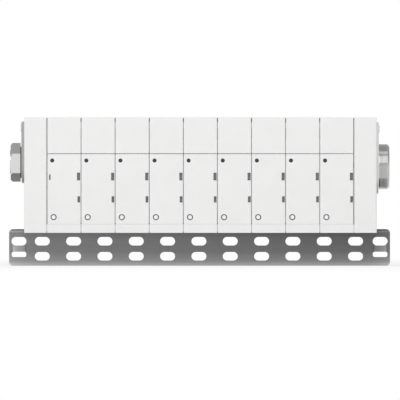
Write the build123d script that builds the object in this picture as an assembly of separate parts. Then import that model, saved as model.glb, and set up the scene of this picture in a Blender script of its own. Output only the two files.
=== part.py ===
"""Pneumatic valve island: nine valve stations clamped between two end blocks on a perforated steel channel.

Millimetres. X runs along the channel, Y from front to back, Z up from the channel's underside.
"""

import os
from math import cos, pi

from build123d import *

# Stack of stations along the channel
STATIONS = 9
STATION_PITCH = 27.2
END_BLOCK_WIDTH = 18.2
STACK_SHIFT = 0.7
SEAM = 0.3
CAP_SEAM = 0.45
FOOT_SEAM = 0.1

# Heights of the stack above the channel's top
STACK_HEIGHT = 89.4
CAP_HEIGHT = 29.2
FOOT_HEIGHT = 4.0
LIP_DROP = 2.9

# Depths, with the front face of the housings and the back face of the slices
HOUSING_FRONT = -33.0
SLICE_FRONT = 3.0
HOUSING_BACK = 33.0

# Perforated channel
RAIL_OVERHANG = 11.4
RAIL_HEIGHT = 29.1
RAIL_DEPTH = 50.0
RAIL_SHEET = 1.5
RAIL_BEND = 3.0
RAIL_CORNER = 3.0
RAIL_SETBACK = 6.5
SLOT_PITCH = 25.0
SLOT_LENGTH = 11.9
SLOT_HEIGHT = 6.8
SLOT_LOW_Z = 7.5
SLOT_ROW_GAP = 12.0
SLOT_ROW_SHIFT = -0.5
END_COLUMN_INSET = 7.9
TIE_SLOT_HEIGHT = 4.2
TIE_SLOT_LENGTH = 11.6
TIE_SLOT_Z = 9.0
TIE_SLOT_CORNER = 1.5
BRIDGE_RISE = 1.2

# Screws that hold the end blocks down on the channel
RAIL_SCREW_D = 4.0
RAIL_SCREW_LENGTH = 12.0
RAIL_SCREW_HEAD_D = 7.0
RAIL_SCREW_HEAD_H = 2.6
RAIL_SCREW_KEY = 3.0
RAIL_SCREW_KEY_DEPTH = 1.4
RAIL_SCREW_Y = 0.0
SCREW_CLEARANCE = 0.1

# Wall and edge sizes of the mouldings
COVER_WALL = 1.6
COVER_FRONT_WALL = 2.0
COVER_EDGE = 1.0
SLICE_EDGE = 0.5
END_BLOCK_EDGE = 1.2
LIP_CLEARANCE = 0.2

# Air galleries through the slices and the two outlets of each station, above the channel's top
GALLERY_Y = 14.0
GALLERY_DEPTH = 14.0
GALLERY_HEIGHT = 12.0
GALLERY_CORNER = 2.0
SUPPLY_RISE = 53.5
EXHAUST_RISE = 28.9
OUTLET_D = 11.45
OUTLET_DEPTH = 11.0
OUTLET_RISE = 10.0
PASSAGE_WIDTH = 8.0
PASSAGE_HEIGHT = 4.0
MOUTH_DEPTH = 2.0

# Flat gaskets in the right face of each slice
GASKET = 0.8
GASKET_RIM = 3.0

# Slide valve: body, seat plate and slide, above the channel's top
SEAT_PLATE = 1.0
WINDOW_HEIGHT = 2.6
WINDOW_PITCH = 6.0
SEAT_WIDTH = 21.0
VALVE_WIDTH = 22.6
VALVE_FRONT = -14.0
VALVE_RISE = 11.9
VALVE_HEIGHT = 51.0
CHAMBER_WIDTH = 14.0
CHAMBER_FRONT = -9.0
CHAMBER_FLOOR = 3.0
CHAMBER_ROOF = 5.0
PILOT_PORT = 2.0
SLIDE_CLEARANCE = 0.1
SLIDE_LAND = 3.0
SLIDE_DEPTH = 7.0
SLIDE_CAVITY_DEPTH = 3.5
SLIDE_STEM = 4.0
PISTON_THICK = 2.2
SLIDE_REST_GAP = 0.3

# Pilot solenoid in front of each valve body, above the channel's top
PILOT_LEFT = -11.6
PILOT_WIDTH = 18.6
PILOT_FRONT = -26.0
PILOT_RISE = 5.4
PILOT_HEIGHT = 27.5
PILOT_EDGE = 1.0

# Manual override button, from the station's centre line and the channel's top
BUTTON_X = -8.3
BUTTON_RISE = 9.6
BUTTON_D = 3.2
BUTTON_HOLE_D = 4.8
BUTTON_SINK = 0.2
BUTTON_TRAVEL = 1.5
BUTTON_SHANK = 5.0
BUTTON_SHANK_GAP = 0.3
BUTTON_SHANK_IN = 2.0
SOCKET_CLEARANCE = 0.1

# Indicator lens, from the station's centre line and the seam under the cap
LENS_X = -9.4
LENS_DROP = 5.4
LENS_D = 3.2
LENS_SINK = 0.2
LENS_CLEARANCE = 0.05

# Cover latches: two noses showing in windows near the right edge of each cover
LATCH_RIGHT = 12.85
LATCH_HIGH_DROP = 18.2
LATCH_HIGH_WIDTH = 2.45
LATCH_HIGH_HEIGHT = 6.1
LATCH_LOW_RISE = 23.8
LATCH_LOW_WIDTH = 2.1
LATCH_LOW_HEIGHT = 4.9
LATCH_WINDOW_DEPTH = 5.0
LATCH_SINK = 1.6
LATCH_CLEARANCE = 0.3
LATCH_NOSE = 2.0
LATCH_ARM = 1.4
LATCH_ARM_HEIGHT = 8.0
RELEASE_SLIT_X = -11.3
RELEASE_SLIT_DROP = 18.7
RELEASE_SLIT_WIDTH = 1.0
RELEASE_SLIT_HEIGHT = 4.2

# Circuit boards
BOARD = 1.6
BOARD_WIDTH = 16.0
BOARD_DROP = 6.5
BOARD_SLOT = 2.0
BUS_BOARD_DROP = 2.0
BUS_BOARD_HEIGHT = 9.0
BUS_CLEARANCE = 0.5

# Tie rods and nuts
TIE_ROD_D = 5.0
TIE_ROD_Y = 27.8
TIE_ROD_RISE = 6.9
TIE_ROD_DROP = 8.5
TIE_ROD_CLEARANCE = 0.2
TIE_NUT_ACROSS = 8.0
TIE_NUT_HEIGHT = 4.0
TIE_ROD_PROUD = 0.5
TIE_NUT_POCKET = 5.0

# Supply side: port plate, hexagon fitting and its seal, on the left end block
PORT_Y = 10.0
PLATE_LEFT_THICK = 2.6
PLATE_LEFT_DROP = 3.4
PLATE_LEFT_RADIUS = 16.7
PLATE_EDGE = 0.6
FITTING_ACROSS = 27.0
FITTING_HEX = 7.9
FITTING_CHAMFER = 1.6
FITTING_COLLAR_D = 19.0
FITTING_COLLAR = 0.6
FITTING_TURN = 4.0
FITTING_SHANK_D = 20.9
FITTING_SHANK = 12.0
FITTING_BORE_D = 15.0
FITTING_MOUTH_CHAMFER = 1.0
FITTING_SEAL_D = 25.0
FITTING_SEAL = 0.8
FIT_CLEARANCE = 0.1

# Electrical side: port plate, threaded connector shell and insert, on the right end block
CONNECTOR_RISE = 50.0
PLATE_RIGHT_THICK = 2.0
PLATE_RIGHT_DROP = 3.8
PLATE_RIGHT_RADIUS = 22.0
SHELL_BORE_D = 29.0
SHELL_BARREL_WALL = 1.5
SHELL_THREAD_WALL = 3.5
SHELL_LENGTH = 8.6
SHELL_CHAMFER = 1.6
SHELL_BARREL = 11.0
SHELL_SHELF = 2.0
SHELL_SHELF_RIM = 2.5
INSERT_FACE_IN = 7.0

# Exhaust outlets in the back of the end blocks
EXHAUST_D = 11.45
EXHAUST_DEPTH = 14.0
EXHAUST_TURN = 7.0

# Places that follow from the sizes above
STACK_LENGTH = STATIONS * STATION_PITCH + 2 * END_BLOCK_WIDTH
STACK_LEFT = STACK_SHIFT - STACK_LENGTH / 2
STACK_RIGHT = STACK_SHIFT + STACK_LENGTH / 2
SLICES_LEFT = STACK_LEFT + END_BLOCK_WIDTH
SLICES_RIGHT = STACK_RIGHT - END_BLOCK_WIDTH
STATION_XS = [SLICES_LEFT + (i + 0.5) * STATION_PITCH for i in range(STATIONS)]
COVER_WIDTH = STATION_PITCH - SEAM
STACK_TOP = RAIL_HEIGHT + STACK_HEIGHT
FOOT_TOP = RAIL_HEIGHT + FOOT_HEIGHT
CAP_SEAM_Z = STACK_TOP - CAP_HEIGHT
SUPPLY_Z = RAIL_HEIGHT + SUPPLY_RISE
EXHAUST_Z = RAIL_HEIGHT + EXHAUST_RISE
VALVE_LOW = RAIL_HEIGHT + VALVE_RISE
VALVE_HIGH = VALVE_LOW + VALVE_HEIGHT
CHAMBER_LOW = VALVE_LOW + CHAMBER_FLOOR
CHAMBER_HIGH = VALVE_HIGH - CHAMBER_ROOF
PILOT_LOW = RAIL_HEIGHT + PILOT_RISE
PILOT_HIGH = PILOT_LOW + PILOT_HEIGHT
BUTTON_Z = RAIL_HEIGHT + BUTTON_RISE
LENS_Z = CAP_SEAM_Z - LENS_DROP
LATCH_WINDOWS = (
    (CAP_SEAM_Z - LATCH_HIGH_DROP, LATCH_HIGH_WIDTH, LATCH_HIGH_HEIGHT),
    (RAIL_HEIGHT + LATCH_LOW_RISE, LATCH_LOW_WIDTH, LATCH_LOW_HEIGHT),
)
RELEASE_SLIT_Z = CAP_SEAM_Z - RELEASE_SLIT_DROP
CONNECTOR_Z = RAIL_HEIGHT + CONNECTOR_RISE
TIE_ROD_ZS = (RAIL_HEIGHT + TIE_ROD_RISE, STACK_TOP - TIE_ROD_DROP)
BOARD_TOP = STACK_TOP - BOARD_DROP
BUS_BOARD_HIGH = BOARD_TOP - BUS_BOARD_DROP
BUS_BOARD_LOW = BUS_BOARD_HIGH - BUS_BOARD_HEIGHT
PLATE_LEFT_FACE = STACK_LEFT - PLATE_LEFT_THICK
PLATE_RIGHT_FACE = STACK_RIGHT + PLATE_RIGHT_THICK
SHELL_D = SHELL_BORE_D + 2 * SHELL_THREAD_WALL
SHELL_BARREL_D = SHELL_BORE_D + 2 * SHELL_BARREL_WALL
RAIL_LENGTH = STACK_LENGTH + 2 * RAIL_OVERHANG
END_COLUMN_X = RAIL_LENGTH / 2 - END_COLUMN_INSET
SLOT_COLUMNS = 2 * int((END_COLUMN_X - SLOT_LENGTH) / SLOT_PITCH) + 1
SLOT_HIGH_Z = SLOT_LOW_Z + SLOT_ROW_GAP
BRIDGE_LOW = TIE_SLOT_Z + TIE_SLOT_HEIGHT / 2
BRIDGE_HIGH = SLOT_HIGH_Z - SLOT_HEIGHT / 2
LIP_BOTTOM = RAIL_HEIGHT - LIP_DROP
RAIL_FRONT = HOUSING_FRONT + RAIL_SETBACK
RAIL_BACK = RAIL_FRONT + RAIL_DEPTH
SEAT_FACE = SLICE_FRONT - SEAT_PLATE
OUTLET_ZS = (EXHAUST_Z - OUTLET_RISE, EXHAUST_Z + OUTLET_RISE)
WINDOW_ZS = [EXHAUST_Z + i * WINDOW_PITCH for i in (-1, 0, 1)]
SLIDE_CAVITY = WINDOW_PITCH + WINDOW_HEIGHT + 2 * SLIDE_CLEARANCE
SLIDE_LOW = WINDOW_ZS[0] - WINDOW_HEIGHT / 2 - SLIDE_CLEARANCE - SLIDE_LAND
BOARD_FRONT = PILOT_FRONT
BOARD_LEFT = PILOT_LEFT
SOCKET_DEPTH = BUTTON_SHANK_IN + BUTTON_TRAVEL + BUTTON_SHANK_GAP


def block(x0, x1, y0, y1, z0, z1):
    """A block given by its two corners."""
    return Pos((x0 + x1) / 2, (y0 + y1) / 2, (z0 + z1) / 2) * Box(x1 - x0, y1 - y0, z1 - z0)


def centred(x, z, width, height, y0, y1):
    """A block along Y whose section is centred on x and z."""
    return block(x - width / 2, x + width / 2, y0, y1, z - height / 2, z + height / 2)


def round_x(y, z, diameter, x0, x1):
    """A round bar along X."""
    return Pos((x0 + x1) / 2, y, z) * Rot(Y=90) * Cylinder(diameter / 2, x1 - x0)


def round_y(x, z, diameter, y0, y1):
    """A round bar along Y."""
    return Pos(x, (y0 + y1) / 2, z) * Rot(X=90) * Cylinder(diameter / 2, y1 - y0)


def round_z(x, y, diameter, z0, z1):
    """A round bar along Z."""
    return Pos(x, y, (z0 + z1) / 2) * Cylinder(diameter / 2, z1 - z0)


def profile_x(sketch, x0, x1):
    """A side profile, drawn in Y and Z, given its width along X."""
    return extrude(Plane.YZ.offset(x0) * sketch, amount=x1 - x0)


def upright_edges(solid, y):
    """The edges of a solid that stand along Z at one depth."""
    return [e for e in solid.edges().filter_by(Axis.Z) if abs(e.center().Y - y) < SLICE_EDGE / 2]


def gallery(z, x0, x1):
    """A moulded air gallery along X, its corners broken."""
    section = Pos(GALLERY_Y, z) * Rectangle(GALLERY_DEPTH, GALLERY_HEIGHT)
    return profile_x(chamfer(section.vertices(), GALLERY_CORNER), x0, x1)


def channel_section():
    """The folded sheet seen from its end: web in front, flanges running back."""
    outer = Pos(RAIL_FRONT + RAIL_DEPTH / 2, RAIL_HEIGHT / 2) * Rectangle(RAIL_DEPTH, RAIL_HEIGHT)
    outer = fillet(outer.vertices().sort_by(Axis.X)[:2], RAIL_BEND)
    hollow_height = RAIL_HEIGHT - 2 * RAIL_SHEET
    hollow = Pos(RAIL_FRONT + RAIL_SHEET + RAIL_DEPTH / 2, RAIL_HEIGHT / 2)
    hollow = hollow * Rectangle(RAIL_DEPTH, hollow_height)
    hollow = fillet(hollow.vertices().sort_by(Axis.X)[:2], RAIL_BEND - RAIL_SHEET)
    return outer - hollow


def through_web(sketch):
    """A sketch in X and Z, cut through the channel's web."""
    return extrude(Plane.XZ.offset(-RAIL_FRONT - 2 * RAIL_SHEET) * sketch, amount=3 * RAIL_SHEET)


def cable_tie_bridge(x):
    """The strip of web between two end slots, pressed forward so that a cable tie passes behind it."""
    half = TIE_SLOT_LENGTH / 2
    outline = Polyline(
        (x - half, RAIL_FRONT + RAIL_SHEET),
        (x - half, RAIL_FRONT),
        (x - half + BRIDGE_RISE, RAIL_FRONT - BRIDGE_RISE),
        (x + half - BRIDGE_RISE, RAIL_FRONT - BRIDGE_RISE),
        (x + half, RAIL_FRONT),
        (x + half, RAIL_FRONT + RAIL_SHEET),
        (x + half - BRIDGE_RISE, RAIL_FRONT - BRIDGE_RISE + RAIL_SHEET),
        (x - half + BRIDGE_RISE, RAIL_FRONT - BRIDGE_RISE + RAIL_SHEET),
        close=True,
    )
    return Pos(0, 0, BRIDGE_LOW) * extrude(make_face(outline), amount=BRIDGE_HIGH - BRIDGE_LOW)


def mounting_rail():
    """Folded channel with rounded ends, slotted web and screw holes in the top flange."""
    rail = profile_x(channel_section(), -RAIL_LENGTH / 2, RAIL_LENGTH / 2)
    front_view = Pos(0, RAIL_HEIGHT / 2) * RectangleRounded(RAIL_LENGTH, RAIL_HEIGHT, RAIL_CORNER)
    rail = rail & extrude(Plane.XZ.offset(-RAIL_BACK) * front_view, amount=RAIL_DEPTH)
    grid = GridLocations(SLOT_PITCH, SLOT_ROW_GAP, SLOT_COLUMNS, 2)
    slot = SlotOverall(SLOT_LENGTH, SLOT_HEIGHT)
    middle = Pos(SLOT_ROW_SHIFT, SLOT_LOW_Z + SLOT_ROW_GAP / 2)
    rail -= [through_web(middle * place * slot) for place in grid]
    for x in (-END_COLUMN_X, END_COLUMN_X):
        upper = Pos(x, SLOT_HIGH_Z) * slot
        lower = Pos(x, TIE_SLOT_Z) * RectangleRounded(TIE_SLOT_LENGTH, TIE_SLOT_HEIGHT, TIE_SLOT_CORNER)
        rail -= through_web(upper)
        rail -= through_web(lower)
        half = TIE_SLOT_LENGTH / 2
        strip = block(x - half, x + half, RAIL_FRONT, RAIL_FRONT + RAIL_SHEET, BRIDGE_LOW, BRIDGE_HIGH)
        rail = rail - strip + cable_tie_bridge(x)
    hole = RAIL_SCREW_D + 2 * SCREW_CLEARANCE
    for x, y in rail_screw_places():
        rail -= round_z(x, y, hole, RAIL_HEIGHT - 2 * RAIL_SHEET, RAIL_HEIGHT + RAIL_SHEET)
    return rail


def rail_screw_places():
    """Where a screw comes up through the top flange into each end block."""
    return [(x, RAIL_SCREW_Y) for x in (STACK_LEFT + END_BLOCK_WIDTH / 2, STACK_RIGHT - END_BLOCK_WIDTH / 2)]


def rail_screw(x, y):
    """Round-headed screw with a hexagon socket, head under the flange."""
    under = RAIL_HEIGHT - RAIL_SHEET
    shank = round_z(x, y, RAIL_SCREW_D, under, under + RAIL_SCREW_LENGTH)
    head = round_z(x, y, RAIL_SCREW_HEAD_D, under - RAIL_SCREW_HEAD_H, under)
    key = RegularPolygon(RAIL_SCREW_KEY / 2, 6, major_radius=False)
    socket = extrude(Pos(x, y, under - RAIL_SCREW_HEAD_H) * key, amount=RAIL_SCREW_KEY_DEPTH)
    return shank + head - socket


def stack_foot_outline(front_top):
    """Side outline shared by slices and end blocks: it stands on the channel and laps over its front."""
    behind_lip = RAIL_FRONT - LIP_CLEARANCE
    corners = [
        (HOUSING_FRONT, LIP_BOTTOM),
        (HOUSING_FRONT, front_top),
        (HOUSING_BACK, STACK_TOP),
        (HOUSING_BACK, RAIL_HEIGHT),
        (behind_lip, RAIL_HEIGHT),
        (behind_lip, LIP_BOTTOM),
    ]
    if front_top < STACK_TOP:
        corners[2:2] = [(SLICE_FRONT, front_top), (SLICE_FRONT, STACK_TOP)]
    return make_face(Polyline(*corners, close=True))


def gasket_outline():
    """Flat gasket around both galleries, in Y and Z."""
    height = SUPPLY_Z - EXHAUST_Z + GALLERY_HEIGHT + 2 * GASKET_RIM
    return Pos(GALLERY_Y, (SUPPLY_Z + EXHAUST_Z) / 2) * Rectangle(GALLERY_DEPTH + 2 * GASKET_RIM, height)


def gasket(face_x):
    """The gasket that lies in the recess left of a joint face."""
    sheet = profile_x(gasket_outline(), face_x - GASKET, face_x)
    for z in (SUPPLY_Z, EXHAUST_Z):
        sheet -= gallery(z, face_x - 2 * GASKET, face_x + GASKET)
    return sheet


def manifold_slice(x):
    """One moulded slice of the manifold, with its galleries, valve face, outlets and rod grooves."""
    left = x - STATION_PITCH / 2
    right = x + STATION_PITCH / 2
    body = profile_x(stack_foot_outline(FOOT_TOP), left, right)
    body = chamfer(upright_edges(body, HOUSING_FRONT) + upright_edges(body, HOUSING_BACK), SLICE_EDGE)
    for z in (SUPPLY_Z, EXHAUST_Z):
        body -= gallery(z, left, right)
        body -= centred(x, z, PASSAGE_WIDTH, PASSAGE_HEIGHT, SLICE_FRONT, GALLERY_Y)
    body -= profile_x(gasket_outline(), right - GASKET, right)
    for z, window_z in zip(OUTLET_ZS, WINDOW_ZS[::2]):
        bottom = HOUSING_BACK - OUTLET_DEPTH
        body -= round_y(x, z, OUTLET_D, bottom, HOUSING_BACK)
        body -= centred(x, z, PASSAGE_WIDTH, PASSAGE_HEIGHT, SLICE_FRONT, bottom)
        reach = [z - PASSAGE_HEIGHT / 2, z + PASSAGE_HEIGHT / 2]
        reach += [window_z - WINDOW_HEIGHT / 2, window_z + WINDOW_HEIGHT / 2]
        half = PASSAGE_WIDTH / 2
        body -= block(x - half, x + half, SLICE_FRONT, SLICE_FRONT + MOUTH_DEPTH, min(reach), max(reach))
    for z in TIE_ROD_ZS:
        groove = TIE_ROD_D + 2 * TIE_ROD_CLEARANCE
        body -= block(left, right, TIE_ROD_Y - groove / 2, HOUSING_BACK, z - groove / 2, z + groove / 2)
    return body


def seat_plate(x):
    """Ported plate between valve body and slice, on which the slide runs."""
    plate = block(x - SEAT_WIDTH / 2, x + SEAT_WIDTH / 2, SEAT_FACE, SLICE_FRONT, VALVE_LOW, VALVE_HIGH)
    for z in WINDOW_ZS:
        plate -= centred(x, z, PASSAGE_WIDTH, WINDOW_HEIGHT, SEAT_FACE, SLICE_FRONT)
    return plate - centred(x, SUPPLY_Z, PASSAGE_WIDTH, PASSAGE_HEIGHT, SEAT_FACE, SLICE_FRONT)


def valve_body(x):
    """Body with the air chamber in which the slide travels, open towards the seat plate."""
    body = block(x - VALVE_WIDTH / 2, x + VALVE_WIDTH / 2, VALVE_FRONT, SEAT_FACE, VALVE_LOW, VALVE_HIGH)
    half = CHAMBER_WIDTH / 2
    body -= block(x - half, x + half, CHAMBER_FRONT, SEAT_FACE, CHAMBER_LOW, CHAMBER_HIGH)
    pilot_z = CHAMBER_LOW + PILOT_PORT / 2
    return body - centred(x, pilot_z, PILOT_PORT, PILOT_PORT, VALVE_FRONT, CHAMBER_FRONT)


def valve_slide(x):
    """Slide with a hollow face that joins two neighbouring windows, on the piston that drives it."""
    half = CHAMBER_WIDTH / 2 - SLIDE_CLEARANCE
    face = SEAT_FACE - SLIDE_CLEARANCE / 2
    high = SLIDE_LOW + SLIDE_CAVITY + 2 * SLIDE_LAND
    slide = block(x - half, x + half, face - SLIDE_DEPTH, face, SLIDE_LOW, high)
    slide -= centred(
        x,
        SLIDE_LOW + SLIDE_LAND + SLIDE_CAVITY / 2,
        PASSAGE_WIDTH + 2 * SLIDE_CLEARANCE,
        SLIDE_CAVITY,
        face - SLIDE_CAVITY_DEPTH,
        face,
    )
    piston_low = CHAMBER_LOW + SLIDE_REST_GAP
    piston_high = piston_low + PISTON_THICK
    front = CHAMBER_FRONT + SLIDE_CLEARANCE
    piston = block(x - half, x + half, front, face, piston_low, piston_high)
    stem_front = face - SLIDE_DEPTH
    stem = block(x - SLIDE_STEM / 2, x + SLIDE_STEM / 2, stem_front, face - SLIDE_LAND, piston_high, SLIDE_LOW)
    return slide + piston + stem


def pilot_solenoid(x):
    """Sealed pilot cartridge, with the socket for the override button and the slot for the board."""
    left = x + PILOT_LEFT
    body = block(left, left + PILOT_WIDTH, PILOT_FRONT, VALVE_FRONT, PILOT_LOW, PILOT_HIGH)
    body = chamfer(upright_edges(body, PILOT_FRONT), PILOT_EDGE)
    size = BUTTON_SHANK + 2 * SOCKET_CLEARANCE
    body -= centred(x + BUTTON_X, BUTTON_Z, size, size, PILOT_FRONT, PILOT_FRONT + SOCKET_DEPTH)
    slot = block(
        board_left(x),
        board_left(x) + BOARD_WIDTH,
        BOARD_FRONT + BOARD,
        BOARD_FRONT + 2 * BOARD,
        PILOT_HIGH - BOARD_SLOT,
        PILOT_HIGH,
    )
    return body - slot


def board_left(x):
    """Left edge of a station's circuit board."""
    return x + BOARD_LEFT + PILOT_EDGE


def station_board(x):
    """Upright board that plugs into the pilot cartridge and carries the indicator."""
    left = board_left(x)
    front = BOARD_FRONT + BOARD
    return block(left, left + BOARD_WIDTH, front, front + BOARD, PILOT_HIGH - BOARD_SLOT, BOARD_TOP)


def bus_board():
    """Long board behind the station boards, from end block to end block."""
    front = BOARD_FRONT + 2 * BOARD
    inset = END_BLOCK_WIDTH / 2
    return block(
        SLICES_LEFT - inset, SLICES_RIGHT + inset, front, front + BOARD, BUS_BOARD_LOW, BUS_BOARD_HIGH
    )


def bus_passage(x0, x1):
    """Room for the long board through a wall."""
    front = BOARD_FRONT + 2 * BOARD - BUS_CLEARANCE
    back = BOARD_FRONT + 3 * BOARD + BUS_CLEARANCE
    return block(x0, x1, front, back, BUS_BOARD_LOW - BUS_CLEARANCE, BUS_BOARD_HIGH + BUS_CLEARANCE)


def terminal_cap(x):
    """Moulded cap over the top of a station: front, sides and roof, open behind and below."""
    half = COVER_WIDTH / 2
    low = CAP_SEAM_Z + CAP_SEAM / 2
    cap = block(x - half, x + half, HOUSING_FRONT, SLICE_FRONT, low, STACK_TOP)
    front_edges = upright_edges(cap, HOUSING_FRONT)
    top_edges = cap.faces().sort_by(Axis.Z)[-1].edges().filter_by(Axis.Y)
    cap = fillet(front_edges + list(top_edges), COVER_EDGE)
    inner = half - COVER_WALL
    roof = STACK_TOP - COVER_FRONT_WALL
    cap -= block(x - inner, x + inner, HOUSING_FRONT + COVER_FRONT_WALL, SLICE_FRONT, low, roof)
    return cap - bus_passage(x - half, x + half)


def front_cover(x, first):
    """Clip-on front cover with the indicator hole, the button hole and the latch windows."""
    half = COVER_WIDTH / 2
    low = FOOT_TOP + FOOT_SEAM
    high = CAP_SEAM_Z - CAP_SEAM / 2
    cover = block(x - half, x + half, HOUSING_FRONT, SLICE_FRONT, low, high)
    cover = fillet(upright_edges(cover, HOUSING_FRONT), COVER_EDGE)
    inner = half - COVER_WALL
    inside = HOUSING_FRONT + COVER_FRONT_WALL
    cover -= block(x - inner, x + inner, inside, SLICE_FRONT, low, high)
    cover -= round_y(x + LENS_X, LENS_Z, LENS_D + 2 * LENS_CLEARANCE, HOUSING_FRONT, inside)
    cover -= round_y(x + BUTTON_X, BUTTON_Z, BUTTON_HOLE_D, HOUSING_FRONT, inside)
    for z, width, height in LATCH_WINDOWS:
        right = x + LATCH_RIGHT
        back = HOUSING_FRONT + LATCH_WINDOW_DEPTH
        cover -= block(right - width, right, HOUSING_FRONT, back, z - height / 2, z + height / 2)
    if first:
        width = RELEASE_SLIT_WIDTH
        cover -= centred(x + RELEASE_SLIT_X, RELEASE_SLIT_Z, width, RELEASE_SLIT_HEIGHT, HOUSING_FRONT, inside)
    return cover


def cover_latch(x):
    """Springy bracket on the valve body whose two noses hold the cover in its windows."""
    nose_right = x + LATCH_RIGHT - LATCH_CLEARANCE
    arm_right = x + LATCH_RIGHT - max(width for _, width, _ in LATCH_WINDOWS) - LATCH_CLEARANCE
    tip = HOUSING_FRONT + LATCH_SINK
    front = HOUSING_FRONT + COVER_FRONT_WALL + LATCH_CLEARANCE
    zs = [z for z, _, _ in LATCH_WINDOWS]
    reach = LATCH_ARM_HEIGHT / 2
    latch = block(arm_right - LATCH_ARM, arm_right, front, VALVE_FRONT, min(zs) - reach, max(zs) + reach)
    for z, width, height in LATCH_WINDOWS:
        half = height / 2 - LATCH_CLEARANCE
        nose_left = x + LATCH_RIGHT - width + LATCH_CLEARANCE
        latch += block(arm_right, nose_right, front, front + LATCH_NOSE, z - half, z + half)
        latch += block(nose_left, nose_right, tip, front, z - half, z + half)
    return latch


def indicator_lens(x):
    """Clear light guide from the board to the front face."""
    return round_y(x + LENS_X, LENS_Z, LENS_D, HOUSING_FRONT + LENS_SINK, BOARD_FRONT + BOARD)


def override_button(x):
    """Round button on a square shank that slides in the pilot's socket."""
    shoulder = HOUSING_FRONT + COVER_FRONT_WALL + BUTTON_SHANK_GAP
    nose = round_y(x + BUTTON_X, BUTTON_Z, BUTTON_D, HOUSING_FRONT + BUTTON_SINK, shoulder)
    back = PILOT_FRONT + BUTTON_SHANK_IN
    return nose + centred(x + BUTTON_X, BUTTON_Z, BUTTON_SHANK, BUTTON_SHANK, shoulder, back)


def end_block(x0, x1, outer_x):
    """Full-height end block with its nut pockets, rod holes and screw holes."""
    block_solid = profile_x(stack_foot_outline(STACK_TOP), x0, x1)
    edges = upright_edges(block_solid, HOUSING_FRONT) + upright_edges(block_solid, HOUSING_BACK)
    top = block_solid.faces().sort_by(Axis.Z)[-1].edges().filter_by(Axis.Y)
    block_solid = fillet(edges + list(top), END_BLOCK_EDGE)
    inward = 1 if outer_x == x0 else -1
    hole = TIE_ROD_D + 2 * TIE_ROD_CLEARANCE
    pocket_half = TIE_NUT_ACROSS / 2 / cos(pi / 6) + TIE_ROD_CLEARANCE
    for z in TIE_ROD_ZS:
        block_solid -= round_x(TIE_ROD_Y, z, hole, x0, x1)
        reach = sorted((outer_x, outer_x + inward * TIE_NUT_POCKET))
        low = TIE_ROD_Y - pocket_half
        block_solid -= block(*reach, low, HOUSING_BACK, z - pocket_half, z + pocket_half)
    middle = (x0 + x1) / 2
    top_z = RAIL_HEIGHT + RAIL_SCREW_LENGTH
    screw_hole = RAIL_SCREW_D + 2 * SCREW_CLEARANCE
    block_solid -= round_z(middle, RAIL_SCREW_Y, screw_hole, RAIL_HEIGHT, top_z)
    exhaust_bottom = HOUSING_BACK - EXHAUST_DEPTH
    block_solid -= round_y(middle, EXHAUST_Z, EXHAUST_D, exhaust_bottom, HOUSING_BACK)
    return block_solid


def end_block_left():
    """Left end block: supply port, exhaust port and the recess for the first gasket."""
    solid = end_block(STACK_LEFT, SLICES_LEFT, STACK_LEFT)
    port_end = PLATE_LEFT_FACE + FITTING_SHANK + FIT_CLEARANCE
    solid -= round_x(PORT_Y, SUPPLY_Z, FITTING_SHANK_D + 2 * FIT_CLEARANCE, STACK_LEFT, port_end)
    solid -= gallery(SUPPLY_Z, port_end, SLICES_LEFT)
    solid -= gallery(EXHAUST_Z, SLICES_LEFT - EXHAUST_TURN, SLICES_LEFT)
    solid -= profile_x(gasket_outline(), SLICES_LEFT - GASKET, SLICES_LEFT)
    return solid - bus_passage(SLICES_LEFT - END_BLOCK_WIDTH / 2 - BUS_CLEARANCE, SLICES_LEFT)


def end_block_right():
    """Right end block: connector bore and exhaust port; the supply gallery ends at it."""
    solid = end_block(SLICES_RIGHT, STACK_RIGHT, STACK_RIGHT)
    bore_end = PLATE_RIGHT_FACE - SHELL_BARREL - FIT_CLEARANCE
    solid -= round_x(PORT_Y, CONNECTOR_Z, SHELL_BARREL_D + 2 * FIT_CLEARANCE, bore_end, STACK_RIGHT)
    solid -= gallery(EXHAUST_Z, SLICES_RIGHT, SLICES_RIGHT + EXHAUST_TURN)
    return solid - bus_passage(SLICES_RIGHT, SLICES_RIGHT + END_BLOCK_WIDTH / 2 + BUS_CLEARANCE)


def port_plate(z, radius, top, hole, end_face, outer_x):
    """Plate with a square top and a round foot about its port, outer face bevelled."""
    x0, x1 = sorted((end_face, outer_x))
    outline = Pos(PORT_Y, z) * Circle(radius)
    outline += Pos(PORT_Y, (z + top) / 2) * Rectangle(2 * radius, top - z)
    plate = profile_x(outline, x0, x1)
    outer_face = [f for f in plate.faces().filter_by(Axis.X) if abs(f.center().X - outer_x) < PLATE_EDGE]
    plate = chamfer(outer_face[0].edges(), PLATE_EDGE)
    return plate - round_x(PORT_Y, z, hole, x0, x1)


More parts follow.
